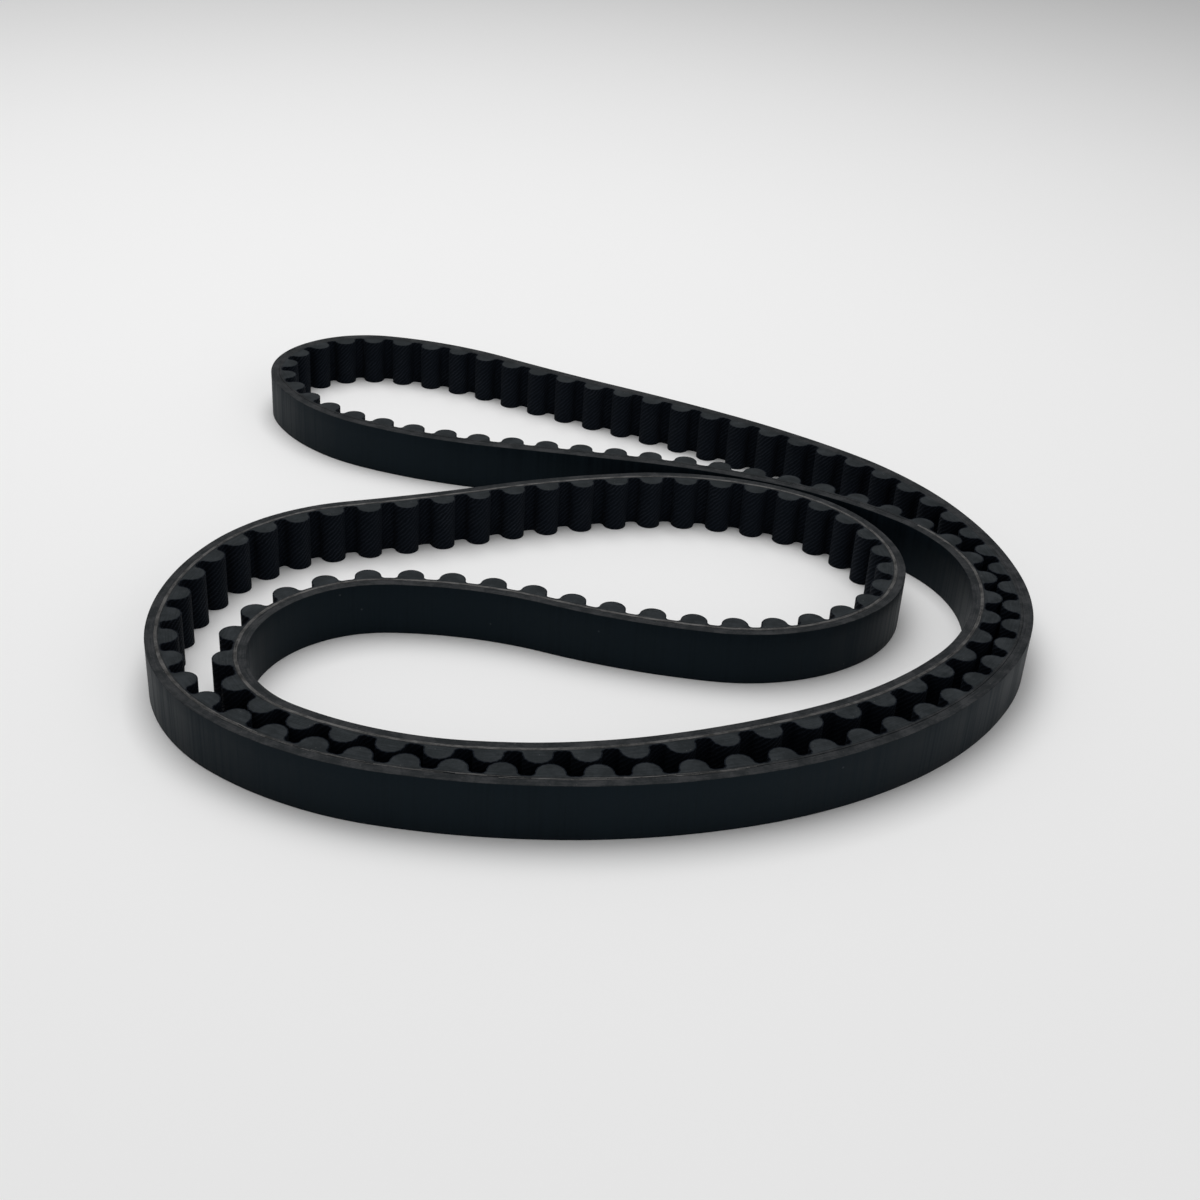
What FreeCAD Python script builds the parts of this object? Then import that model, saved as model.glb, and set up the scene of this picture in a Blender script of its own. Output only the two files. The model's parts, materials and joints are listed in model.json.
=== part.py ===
"""Timing belt: one endless rubber belt with round-headed teeth, stood on its edge and curled.

The plan of the belt is its cord line, the line along the middle of the tensile cords, whose
length never changes. The cord line is a closed chain of tangent arcs, each a whole number of
teeth long, and every surface of the belt stands at a fixed depth from it. Depth is measured
towards the teeth, so the back has a negative depth. Z is height above the lower cut edge.
"""
import FreeCAD, Part
import math
import os

# Driving dimensions, in millimetres
TOOTH_PITCH = 8.0        # tooth to tooth, along the cord line
BELT_WIDTH = 11.0        # between the two cut edges
TOOTH_HEIGHT = 3.38      # land to tooth tip
HEAD_RADIUS = 2.57       # round head of a tooth
ROOT_RADIUS = 0.8        # hollow where a tooth meets the land
BACKING_HEIGHT = 2.0     # cord line to the back
CORD_DIAMETER = 0.8
LAND_COVER = 0.09        # rubber between the cords and the tooth facing
FABRIC_THICKNESS = 0.2   # tooth facing
CORD_TURNS = 9           # whole turns of cord side by side across the width
EDGE_COVER = 0.1         # rubber between the lowest turn and the lower edge
RUN_OUT_RISE = 0.1       # how far the centre of the slit last turn stands above the upper edge
RUN_CLEARANCE = 0.18     # least gap where two runs of the belt lie side by side

# How the belt lies. Each stretch is a list of bends, as (teeth, turn in degrees), and a bend
# towards the teeth is positive. The loop is closed by easing these turns.
START_HEADING = 78.0
STRETCHES = (
    ("outer_rear", ((4, 83.0), (4, 23.5), (4, -4.6), (4, 4.4))),
    ("outer_right", ((4, 9.9), (4, 24.9), (4, 22.5), (4, 33.1))),
    ("outer_front", ((4, 22.5), (4, 18.1), (4, 14.6), (4, 13.5))),
    ("outer_left", ((4, 28.0), (4, 44.5), (4, 33.5), (4, 46.5))),
    ("inner_lobe_rear", ((4, -5.5), (4, 12.0), (4, 32.5))),
    ("inner_lobe_end", ((4, 53.5), (4, 64.0), (4, 48.0))),
    ("inner_lobe_front", ((4, 14.0), (4, -24.0))),
    ("inner_left", ((4, -70.0), (4, -77.5), (4, -27.0))),
    ("inner_front", ((4, -17.5), (4, -11.5), (4, -21.0))),
    ("inner_right", ((4, -35.9), (4, -53.5), (4, -22.5))),
    ("rear_lobe_front", ((4, -12.5), (4, -0.9), (4, 17.1))),
    ("rear_lobe_end", ((4, 40.1), (2, 40.1))),
)
RUN_OUT_BENDS = (10, 32)  # the slit turn shows in the upper edge from the first to before the last

# Depths that follow from the driving dimensions
CORD_RADIUS = CORD_DIAMETER / 2
BED_DEPTH = CORD_RADIUS + LAND_COVER
LAND_DEPTH = BED_DEPTH + FABRIC_THICKNESS
HEAD_DEPTH = LAND_DEPTH + TOOTH_HEIGHT - HEAD_RADIUS

BENDS = [bend for _, bends in STRETCHES for bend in bends]
CLOSING_ROUNDS = 5
EASING_ROUNDS = 80
EASING_SOFTNESS = 3.0    # spreads an easing over the whole belt instead of one sharp bend
TIGHTEST_SHOWN = 8       # places eased apart in one round
TOUCH = 0.001            # a place tighter than its clearance by less than this is left alone
NEAREST_RUN = 6          # teeth this close along the belt are not two runs
FLATTEST_ARC = 0.0006    # height of the flattest arc that is not made a line, over its chord
SHORTEST_LAND = 0.1      # mm, land left between the root hollows on the tightest bend
LEAST_ROOT_SHARE = 0.25  # of the root radius, as far as a short land can reduce it
ROOT_STEP_SHARE = 0.05   # of the root radius, by which it is reduced at a time
UP = FreeCAD.Vector(0, 0, 1)


class Bend:
    """One arc of the cord line, a whole number of teeth long."""

    def __init__(self, x, y, heading, teeth, turn):
        self.teeth = teeth
        self.turn = turn
        self.heading = heading
        self.length = teeth * TOOTH_PITCH
        self.radius = self.length / turn
        self.centre_x = x + self.radius * math.sin(heading)
        self.centre_y = y - self.radius * math.cos(heading)

    def point(self, along, depth=0.0, height=0.0):
        """Point at a length along the cord line and a depth from it."""
        heading = self.heading - along / self.radius
        reach = self.radius - depth
        x = self.centre_x - reach * math.sin(heading)
        y = self.centre_y + reach * math.cos(heading)
        return FreeCAD.Vector(x, y, height)

    def beside(self, along, across, depth):
        """Point in the straight frame of the cord line at a length along it."""
        heading = self.heading - along / self.radius
        start = self.point(along)
        x = start.x + across * math.cos(heading) + depth * math.sin(heading)
        y = start.y + across * math.sin(heading) - depth * math.cos(heading)
        return FreeCAD.Vector(x, y, 0)


def lay_out(turns, x=0.0, y=0.0):
    """The bends one after another, each starting where the last one ends."""
    laid = []
    heading = math.radians(START_HEADING)
    for (teeth, _), turn in zip(BENDS, turns):
        bend = Bend(x, y, heading, teeth, turn)
        laid.append(bend)
        end = bend.point(bend.length)
        x = end.x
        y = end.y
        heading -= turn
    return laid


def tooth_places(laid):
    """Each tooth as its bend and its middle, as a length along that bend."""
    return [(bend, (number + 0.5) * TOOTH_PITCH) for bend in laid for number in range(bend.teeth)]


def squeeze(laid, pair):
    """How much two teeth of different runs, or the backs behind them, lack of their clearance."""
    places = tooth_places(laid)
    (bend, middle), (other, other_middle) = places[pair[0]], places[pair[1]]
    if pair[2] == "heads":
        head = bend.beside(middle, 0, HEAD_DEPTH)
        other_head = other.beside(other_middle, 0, HEAD_DEPTH)
        return 2 * HEAD_RADIUS + RUN_CLEARANCE - (head - other_head).Length
    start = bend.point(middle)
    inward = bend.point(middle, 1.0) - start
    away = other.point(other_middle) - start
    return 2 * BACKING_HEIGHT + RUN_CLEARANCE - abs(away.dot(inward))


def tight_pairs(laid):
    """The pairs of teeth that lie nearer than their clearance, tightest first."""
    places = tooth_places(laid)
    total = len(places)
    near_heads = 2 * HEAD_RADIUS + RUN_CLEARANCE
    near_backs = 2 * BACKING_HEIGHT + RUN_CLEARANCE
    cord_points = [bend.point(middle) for bend, middle in places]
    heads = [bend.beside(middle, 0, HEAD_DEPTH) for bend, middle in places]
    reach = math.hypot(near_backs, TOOTH_PITCH / 2)
    found = []
    for first in range(total):
        for second in range(first + NEAREST_RUN, min(total, first + total - NEAREST_RUN + 1)):
            if (heads[first] - heads[second]).Length < near_heads:
                found.append((first, second, "heads"))
            if (cord_points[first] - cord_points[second]).Length < reach:
                found.append((first, second, "backs"))
    found = [pair for pair in found if squeeze(laid, pair) > TOUCH]
    found.sort(key=lambda pair: -squeeze(laid, pair))
    return found[:TIGHTEST_SHOWN]


def misfits(turns, pairs):
    """What is wrong with a layout: its unclosed turn and gap, and its tight places."""
    laid = lay_out(turns)
    end = laid[-1].point(laid[-1].length)
    unclosed = [sum(turns) - 2 * math.pi, end.x / TOOTH_PITCH, end.y / TOOTH_PITCH]
    return unclosed + [squeeze(laid, pair) / TOOTH_PITCH for pair in pairs]


def solve(matrix, values):
    """Solve a small set of linear equations by elimination with pivots."""
    rows = [list(row) + [value] for row, value in zip(matrix, values)]
    size = len(rows)
    for column in range(size):
        pivot = max(range(column, size), key=lambda line: abs(rows[line][column]))
        rows[column], rows[pivot] = rows[pivot], rows[column]
        for line in range(size):
            if line != column:
                share = rows[line][column] / rows[column][column]
                rows[line] = [a - share * b for a, b in zip(rows[line], rows[column])]
    return [rows[line][size] / rows[line][line] for line in range(size)]


def eased(turns, pairs, softness):
    """The turns changed by the least amount that mends their misfits, to first order."""
    step = 1e-6
    wrong = misfits(turns, pairs)
    slopes = []
    for changed in range(len(turns)):
        trial = [turn + step * (index == changed) for index, turn in enumerate(turns)]
        slopes.append([(new - old) / step for new, old in zip(misfits(trial, pairs), wrong)])
    lines = range(len(wrong))
    matrix = [[sum(slope[a] * slope[b] for slope in slopes) + softness * (a == b) for b in lines]
              for a in lines]
    weights = solve(matrix, wrong)
    return [turn - sum(w * s for w, s in zip(weights, slope)) for turn, slope in zip(turns, slopes)]


def closed(turns):
    """The turns that bring the end of the belt back to its start."""
    for _ in range(CLOSING_ROUNDS):
        turns = eased(turns, [], 0.0)
    return turns


def settled_turns():
    """Turns that close the loop and keep its runs apart, as near the stated ones as they can be."""
    turns = closed([math.radians(turn) for _, turn in BENDS])
    for _ in range(EASING_ROUNDS):
        pairs = tight_pairs(lay_out(turns))
        if not pairs:
            break
        turns = closed(eased(turns, pairs, EASING_SOFTNESS))
    return turns


def arc(start, middle, end):
    """Edge of a circular arc through three points, or a line where the arc is too flat to matter."""
    chord = end - start
    sag = (start + chord / 2 - middle).Length
    if sag < FLATTEST_ARC * chord.Length:
        return Part.makeLine(start, end)
    return Part.Arc(start, middle, end).toShape()


def level_wire(laid, depth):
    """Closed line all round the belt at one depth."""
    edges = []
    for bend in laid:
        points = [bend.point(share * bend.length, depth) for share in (0, 0.5, 1)]
        edges.append(arc(*points))
    return Part.Wire(edges)


def root_radius(bend):
    """Radius of the root hollows on a bend, smaller where it leaves too little land for them."""
    radius = ROOT_RADIUS
    while radius > ROOT_RADIUS * LEAST_ROOT_SHARE:
        depth = LAND_DEPTH + radius
        room = TOOTH_PITCH / 2 * (1 - depth / bend.radius)
        reach = math.sqrt((HEAD_RADIUS + radius) ** 2 - (depth - HEAD_DEPTH) ** 2)
        if reach < room - SHORTEST_LAND / 2:
            break
        radius -= ROOT_RADIUS * ROOT_STEP_SHARE
    return radius


def tooth_edges(bend, middle, skin):
    """Outline of one tooth, and the lengths along the bend where it leaves the land.

    The skin is how far inside the worn surface the outline lies. The root hollows touch both the
    head and the curved land, so their centres are where two circles cross.
    """
    side = math.copysign(1, bend.radius)
    hollow_radius = root_radius(bend)
    to_head = HEAD_RADIUS + hollow_radius
    to_centre = abs(bend.radius) - side * (LAND_DEPTH + hollow_radius)
    axis = bend.radius - HEAD_DEPTH
    drop = (to_head ** 2 - to_centre ** 2 + axis ** 2) / (2 * axis)
    root_x = math.sqrt(to_head ** 2 - drop ** 2)
    root_y = HEAD_DEPTH + drop
    head_radius = HEAD_RADIUS - skin
    hollow_radius += skin

    land_reach = (abs(bend.radius) - side * (LAND_DEPTH - skin)) / to_centre
    foot = (root_x * land_reach, bend.radius + (root_y - bend.radius) * land_reach)
    neck = (root_x * head_radius / to_head, HEAD_DEPTH + drop * head_radius / to_head)
    lean_x = (foot[0] - root_x) + (neck[0] - root_x)
    lean_y = (foot[1] - root_y) + (neck[1] - root_y)
    lean = hollow_radius / math.hypot(lean_x, lean_y)
    hollow = (root_x + lean_x * lean, root_y + lean_y * lean)
    tip = bend.beside(middle, 0, HEAD_DEPTH + head_radius)

    left = [bend.beside(middle, -x, y) for x, y in (foot, hollow, neck)]
    right = [bend.beside(middle, x, y) for x, y in (neck, hollow, foot)]
    edges = [arc(*left), arc(left[2], tip, right[0]), arc(*right)]
    spread = abs(bend.radius) * math.asin(root_x / to_centre)
    return edges, middle - spread, middle + spread


def toothed_wire(laid, skin):
    """Closed line all round the belt that follows the lands and the teeth."""
    depth = LAND_DEPTH - skin
    edges = []
    for bend, middle in tooth_places(laid):
        tooth, left, right = tooth_edges(bend, middle, skin)
        begin = middle - TOOTH_PITCH / 2
        finish = middle + TOOTH_PITCH / 2
        for start, end in ((begin, left), (right, finish)):
            points = [bend.point(along, depth) for along in (start, (start + end) / 2, end)]
            tooth.insert(0 if start == begin else len(tooth), arc(*points))
        edges.extend(tooth)
    return Part.Wire(edges)


def band(outer_wire, inner_wire):
    """Solid between two closed lines, as wide as the belt."""
    face = Part.makeFace([outer_wire, inner_wire], "Part::FaceMakerBullseye")
    return face.extrude(UP * BELT_WIDTH)


def tooth_rubber(bend, middle):
    """The rubber of one tooth, under its fabric."""
    edges, left, right = tooth_edges(bend, middle, FABRIC_THICKNESS)
    root = [bend.point(along, BED_DEPTH) for along in (right, middle, left)]
    edges.append(arc(*root))
    return Part.Face(Part.Wire(edges)).extrude(UP * BELT_WIDTH)


def swept(laid, section, closed):
    """Solid made by carrying a section, drawn at the start of each bend, along that bend."""
    faces = []
    for bend in laid:
        centre = FreeCAD.Vector(bend.centre_x, bend.centre_y, 0)
        skin = section(bend, 0).revolve(centre, UP, -math.degrees(bend.turn))
        faces.extend(skin.Faces)
    if not closed:
        faces.append(Part.Face(section(laid[0], 0)))
        faces.append(Part.Face(section(laid[-1], laid[-1].length)))
    shell = Part.Shell(faces)
    shell.sewShape()
    solid = Part.Solid(shell.Shells[0])
    if solid.Volume < 0:
        solid.reverse()
    return solid


def cord_heights():
    """Height of the middle of each whole turn of cord above the lower edge."""
    first = EDGE_COVER + CORD_RADIUS
    spacing = (BELT_WIDTH + RUN_OUT_RISE - first) / CORD_TURNS
    return [first + turn * spacing for turn in range(CORD_TURNS)]


def grooved_section(far_depth):
    """Section of the rubber from the cord line to a depth, with a half-round groove for each turn."""
    into_rubber = math.copysign(CORD_RADIUS, far_depth)

    def section(bend, along):
        corners = [bend.point(along, depth, height)
                   for depth, height in ((0, 0), (far_depth, 0), (far_depth, BELT_WIDTH))]
        edges = [Part.makeLine(*corners[:2]), Part.makeLine(*corners[1:])]
        last = bend.point(along, 0, BELT_WIDTH)
        edges.append(Part.makeLine(corners[2], last))
        for height in reversed(cord_heights()):
            top = bend.point(along, 0, height + CORD_RADIUS)
            bottom = bend.point(along, 0, height - CORD_RADIUS)
            edges.append(Part.makeLine(last, top))
            edges.append(arc(top, bend.point(along, into_rubber, height), bottom))
            last = bottom
        edges.append(Part.makeLine(last, corners[0]))
        return Part.Wire(edges)
    return section


def cord_section(height):
    """Round section of a cord turn at a height, as a function of the bend and length along it."""
    def section(bend, along):
        centre = bend.point(along, 0, height)
        ahead = bend.beside(along, 1, 0) - bend.beside(along, 0, 0)
        return Part.Wire(Part.makeCircle(CORD_RADIUS, centre, ahead))
    return section


def slit_section(bend, along):
    """Section of the last turn, which the slitting knife left as a sliver in the upper edge."""
    half_width = math.sqrt(CORD_RADIUS ** 2 - RUN_OUT_RISE ** 2)
    bottom = BELT_WIDTH + RUN_OUT_RISE - CORD_RADIUS
    left = bend.point(along, -half_width, BELT_WIDTH)
    right = bend.point(along, half_width, BELT_WIDTH)
    return Part.Wire([arc(left, bend.point(along, 0, bottom), right), Part.makeLine(right, left)])


def belt_layout():
    """The settled bends, placed so that the belt's plan is centred on the origin."""
    turns = settled_turns()
    box = level_wire(lay_out(turns), -BACKING_HEIGHT).BoundBox
    return lay_out(turns, -box.Center.x, -box.Center.y)


def cord_nodes(laid):
    """Every whole turn of cord and the slit last turn, by node name."""
    nodes = {}
    for turn, height in enumerate(cord_heights()):
        twist = "s" if turn % 2 == 0 else "z"
        name = "cord_%s_turn_%d" % (twist, turn + 1)
        nodes[name] = swept(laid, cord_section(height), closed=True)
    begin, finish = RUN_OUT_BENDS
    nodes["cord_slit_turn"] = swept(laid[begin:finish], slit_section, closed=False)
    return nodes


def tooth_nodes(laid):
    """The tooth rubber of each stretch, as one solid per tooth, by node name."""
    nodes = {}
    first = 0
    for name, bends in STRETCHES:
        stretch = laid[first:first + len(bends)]
        teeth = [tooth_rubber(bend, middle) for bend, middle in tooth_places(stretch)]
        nodes["teeth_" + name] = Part.makeCompound(teeth)
        first += len(bends)
    return nodes


def build():
    """Every node of the belt, by name."""
    laid = belt_layout()
    nodes = cord_nodes(laid)
    slit = nodes["cord_slit_turn"]
    nodes["backing_rubber"] = swept(laid, grooved_section(-BACKING_HEIGHT), closed=True).cut(slit)
    nodes["cord_bed_rubber"] = swept(laid, grooved_section(BED_DEPTH), closed=True).cut(slit)
    nodes.update(tooth_nodes(laid))
    nodes["facing_fabric"] = band(toothed_wire(laid, FABRIC_THICKNESS), toothed_wire(laid, 0))
    return nodes


os.makedirs("parts", exist_ok=True)
for node_name, shape in build().items():
    shape.exportStep("parts/%s.step" % node_name)
    print("%-24s solids %3d  volume %10.2f  valid %s"
          % (node_name, len(shape.Solids), shape.Volume, shape.isValid()))
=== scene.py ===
"""Looks of an endless rubber timing belt that stands on its edge, curled into two loops.

The belt follows its cord line, a closed chain of tangent arcs, each a whole number of teeth long.
Every surface stands at a fixed depth from that line: the back at a negative depth, the teeth at a
positive one. A Pen draws each outline along those arcs and carries it up or round, and the
materials read how far along the belt and how deep in it each place lies.
"""

import json
import logging
import math
import random
from dataclasses import dataclass
from enum import Enum
from typing import Callable, Iterable, Sequence

import bpy
import numpy as np
from mathutils import Matrix, Vector

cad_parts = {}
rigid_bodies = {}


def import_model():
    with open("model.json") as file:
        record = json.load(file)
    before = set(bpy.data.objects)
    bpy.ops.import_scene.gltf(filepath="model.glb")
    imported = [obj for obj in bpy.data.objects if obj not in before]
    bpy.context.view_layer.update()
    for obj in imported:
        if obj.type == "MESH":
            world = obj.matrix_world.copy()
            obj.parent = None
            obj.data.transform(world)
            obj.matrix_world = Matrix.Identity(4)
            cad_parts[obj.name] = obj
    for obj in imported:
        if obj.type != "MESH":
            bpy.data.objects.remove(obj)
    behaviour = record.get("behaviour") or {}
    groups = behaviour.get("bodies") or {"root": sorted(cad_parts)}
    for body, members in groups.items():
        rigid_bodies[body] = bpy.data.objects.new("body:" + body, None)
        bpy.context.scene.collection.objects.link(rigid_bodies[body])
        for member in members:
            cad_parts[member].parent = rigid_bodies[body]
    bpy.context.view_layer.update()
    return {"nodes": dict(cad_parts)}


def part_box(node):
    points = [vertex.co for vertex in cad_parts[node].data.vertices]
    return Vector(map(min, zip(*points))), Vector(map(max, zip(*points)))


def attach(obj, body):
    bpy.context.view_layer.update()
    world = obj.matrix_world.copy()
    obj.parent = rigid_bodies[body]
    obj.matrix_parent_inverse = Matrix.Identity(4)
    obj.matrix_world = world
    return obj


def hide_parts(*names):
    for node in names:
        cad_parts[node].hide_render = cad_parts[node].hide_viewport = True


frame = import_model()
BODY = "root"
MM = 0.001
LOG = logging.getLogger("timing_belt")

# How the belt lies, as bends of (teeth, turn in degrees). A bend towards the teeth is positive.
START_HEADING = 78.0
STRETCHES = (
    ("outer_rear", ((4, 83.0), (4, 23.5), (4, -4.6), (4, 4.4))),
    ("outer_right", ((4, 9.9), (4, 24.9), (4, 22.5), (4, 33.1))),
    ("outer_front", ((4, 22.5), (4, 18.1), (4, 14.6), (4, 13.5))),
    ("outer_left", ((4, 28.0), (4, 44.5), (4, 33.5), (4, 46.5))),
    ("inner_lobe_rear", ((4, -5.5), (4, 12.0), (4, 32.5))),
    ("inner_lobe_end", ((4, 53.5), (4, 64.0), (4, 48.0))),
    ("inner_lobe_front", ((4, 14.0), (4, -24.0))),
    ("inner_left", ((4, -70.0), (4, -77.5), (4, -27.0))),
    ("inner_front", ((4, -17.5), (4, -11.5), (4, -21.0))),
    ("inner_right", ((4, -35.9), (4, -53.5), (4, -22.5))),
    ("rear_lobe_front", ((4, -12.5), (4, -0.9), (4, 17.1))),
    ("rear_lobe_end", ((4, 40.1), (2, 40.1))),
)


@dataclass(frozen=True)
class BeltSizes:
    """Sizes of the belt's section, in metres."""

    pitch: float = 8.0 * MM
    width: float = 11.0 * MM
    tooth_height: float = 3.38 * MM
    head_radius: float = 2.57 * MM
    root_radius: float = 0.8 * MM
    backing: float = 2.0 * MM
    cord_radius: float = 0.4 * MM
    land_cover: float = 0.09 * MM
    fabric: float = 0.2 * MM

    @property
    def bed_depth(self) -> float:
        """Depth where the rubber ends and the tooth facing begins, in the lands."""
        return self.cord_radius + self.land_cover

    @property
    def land_depth(self) -> float:
        """Depth of the worn surface in the lands."""
        return self.bed_depth + self.fabric

    @property
    def head_depth(self) -> float:
        """Depth of the middle of a tooth's round head."""
        return self.land_depth + self.tooth_height - self.head_radius


SIZES = BeltSizes()


@dataclass(frozen=True)
class Bend:
    """One arc of the cord line, a whole number of teeth long.

    Args:
        x: Where it starts.
        y: Where it starts.
        heading: Its direction there, in radians.
        first: Number of its first tooth round the belt.
        teeth: How many teeth it holds.
        turn: How far it turns towards the teeth, in radians.
    """

    x: float
    y: float
    heading: float
    first: int
    teeth: int
    turn: float

    @property
    def length(self) -> float:
        """Length along the cord line."""
        return self.teeth * SIZES.pitch

    @property
    def radius(self) -> float:
        """Radius of the cord line, negative where it turns towards the back."""
        return self.length / self.turn

    @property
    def end(self) -> tuple[float, float, float]:
        """Where it ends and its direction there, as x, y and heading."""
        heading = self.heading - self.turn
        x = self.x + self.radius * (math.sin(self.heading) - math.sin(heading))
        y = self.y - self.radius * (math.cos(self.heading) - math.cos(heading))
        return x, y, heading

    @property
    def centre(self) -> Vector:
        """Middle of the arc, at the height of the lower edge."""
        x = self.x + self.radius * math.sin(self.heading)
        y = self.y - self.radius * math.cos(self.heading)
        return Vector((x, y, 0))

    def point(self, along: float, depth: float = 0.0, height: float = 0.0) -> Vector:
        """Point at a length along the cord line, a depth from it and a height.

        Args:
            along: Length from the start of the bend.
            depth: Distance from the cord line towards the teeth.
            height: Height above the lower edge.

        Returns:
            The point in the belt's frame.
        """
        heading = self.heading - along / self.radius
        reach = self.radius - depth
        offset = Vector((-math.sin(heading), math.cos(heading), 0)) * reach
        return self.centre + offset + Vector((0, 0, height))

    def beside(self, along: float, across: float, depth: float) -> Vector:
        """Point in the straight frame of the cord line at a length along it.

        Args:
            along: Length from the start of the bend to the frame's origin.
            across: Distance ahead of that origin, on the tangent.
            depth: Distance from the tangent towards the teeth.

        Returns:
            The point, at the height of the lower edge.
        """
        heading = self.heading - along / self.radius
        ahead = Vector((math.cos(heading), math.sin(heading), 0))
        inward = Vector((math.sin(heading), -math.cos(heading), 0))
        return self.point(along) + ahead * across + inward * depth


class BeltPath:
    """The closed cord line of the belt.

    Args:
        back_box: Lowest and highest corner of the belt's backing, which the path is centred in.
    """

    CLOSING_ROUNDS = 5
    SLOPE_STEP = 1e-6
    BOX_SAMPLES = 200
    END_SLACK = 1e-4

    def __init__(self, back_box: tuple[Vector, Vector]) -> None:
        self.plan = [bend for _, bends in STRETCHES for bend in bends]
        turns = self._closed([math.radians(turn) for _, turn in self.plan])
        middle = (back_box[0] + back_box[1]) / 2
        loose = self._laid(turns, 0.0, 0.0)
        back = self._back_points(loose)
        shift = (back.min(0) + back.max(0)) / 2
        self.bends = self._laid(turns, middle.x - shift[0], middle.y - shift[1])
        self.teeth = sum(teeth for teeth, _ in self.plan)

    def _laid(self, turns: Sequence[float], x: float, y: float) -> list[Bend]:
        """The bends one after another.

        Args:
            turns: Turn of each bend, in radians.
            x: Where the first one starts.
            y: Where the first one starts.

        Returns:
            The bends, each starting where the last one ends.
        """
        laid: list[Bend] = []
        heading = math.radians(START_HEADING)
        first = 0
        for (teeth, _), turn in zip(self.plan, turns):
            bend = Bend(x, y, heading, first, teeth, turn)
            laid.append(bend)
            x, y, heading = bend.end
            first += teeth
        return laid

    def _misfit(self, turns: Sequence[float]) -> np.ndarray:
        """How far a layout is from closing.

        Args:
            turns: Turn of each bend, in radians.

        Returns:
            The missing turn in radians, and the gap along both axes in pitches.
        """
        x, y, heading = self._laid(turns, 0.0, 0.0)[-1].end
        unturned = math.radians(START_HEADING) - 2 * math.pi - heading
        return np.array([unturned, x / SIZES.pitch, y / SIZES.pitch])

    def _closed(self, turns: list[float]) -> list[float]:
        """Closes the loop by the least change.

        Args:
            turns: Turn of each bend, in radians.

        Returns:
            The changed turns.
        """
        for _ in range(self.CLOSING_ROUNDS):
            wrong = self._misfit(turns)
            slopes = []
            for changed in range(len(turns)):
                trial = list(turns)
                trial[changed] += self.SLOPE_STEP
                slopes.append((self._misfit(trial) - wrong) / self.SLOPE_STEP)
            turns = list(np.array(turns) - np.linalg.pinv(np.array(slopes).T) @ wrong)
        return turns

    def _back_points(self, bends: Iterable[Bend]) -> np.ndarray:
        """Points close together along the back of the belt.

        Args:
            bends: The bends in order.

        Returns:
            One row of x and y per point.
        """
        shares = np.linspace(0, 1, self.BOX_SAMPLES)
        return np.array([bend.point(share * bend.length, -SIZES.backing).xy[:]
                         for bend in bends for share in shares])

    def stretch(self, name: str) -> list[Bend]:
        """The bends of one named stretch.

        Args:
            name: Name of the stretch.

        Returns:
            Its bends in order.
        """
        first = 0
        for stretch_name, bends in STRETCHES:
            if stretch_name == name:
                return self.bends[first:first + len(bends)]
            first += len(bends)
        raise ValueError(name)

    def places(self, points: np.ndarray, bends: Iterable[Bend]) -> tuple[np.ndarray, np.ndarray]:
        """Where points near the cord line lie along it and how deep.

        Args:
            points: One row per point.
            bends: The bends that the points can lie on.

        Returns:
            The length along the belt in teeth, and the depth in metres.
        """
        run = np.zeros(len(points))
        depth = np.full(len(points), np.inf)
        for bend in bends:
            side = math.copysign(1, bend.radius)
            offset = points[:, :2] - np.array(bend.centre.xy)
            reach = np.hypot(offset[:, 0], offset[:, 1]) * side
            here = np.arctan2(-offset[:, 0] * side, offset[:, 1] * side)
            swept = (bend.heading - here) * side
            swept = (swept + math.pi / 2) % (2 * math.pi) - math.pi / 2
            inside = (swept > -self.END_SLACK) & (swept < abs(bend.turn) + self.END_SLACK)
            closer = inside & (np.abs(bend.radius - reach) < np.abs(depth))
            depth[closer] = (bend.radius - reach)[closer]
            run[closer] = bend.first + (swept * abs(bend.radius))[closer] / SIZES.pitch
        return run, depth


CUT_ANGLE = 70
SMOOTH_BELOW = 40


def deselect() -> None:
    """Leaves object mode's selection empty."""
    bpy.ops.object.select_all(action="DESELECT")


def signed_turn(centre: Vector, start: Vector, end: Vector) -> float:
    """Turn about a centre from one point to another.

    Args:
        centre: The centre.
        start: The first point.
        end: The second point.

    Returns:
        The turn in radians, counterclockwise, under half a turn.
    """
    a, b = start - centre, end - centre
    return math.atan2(a.x * b.y - a.y * b.x, a.x * b.x + a.y * b.y)


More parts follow.
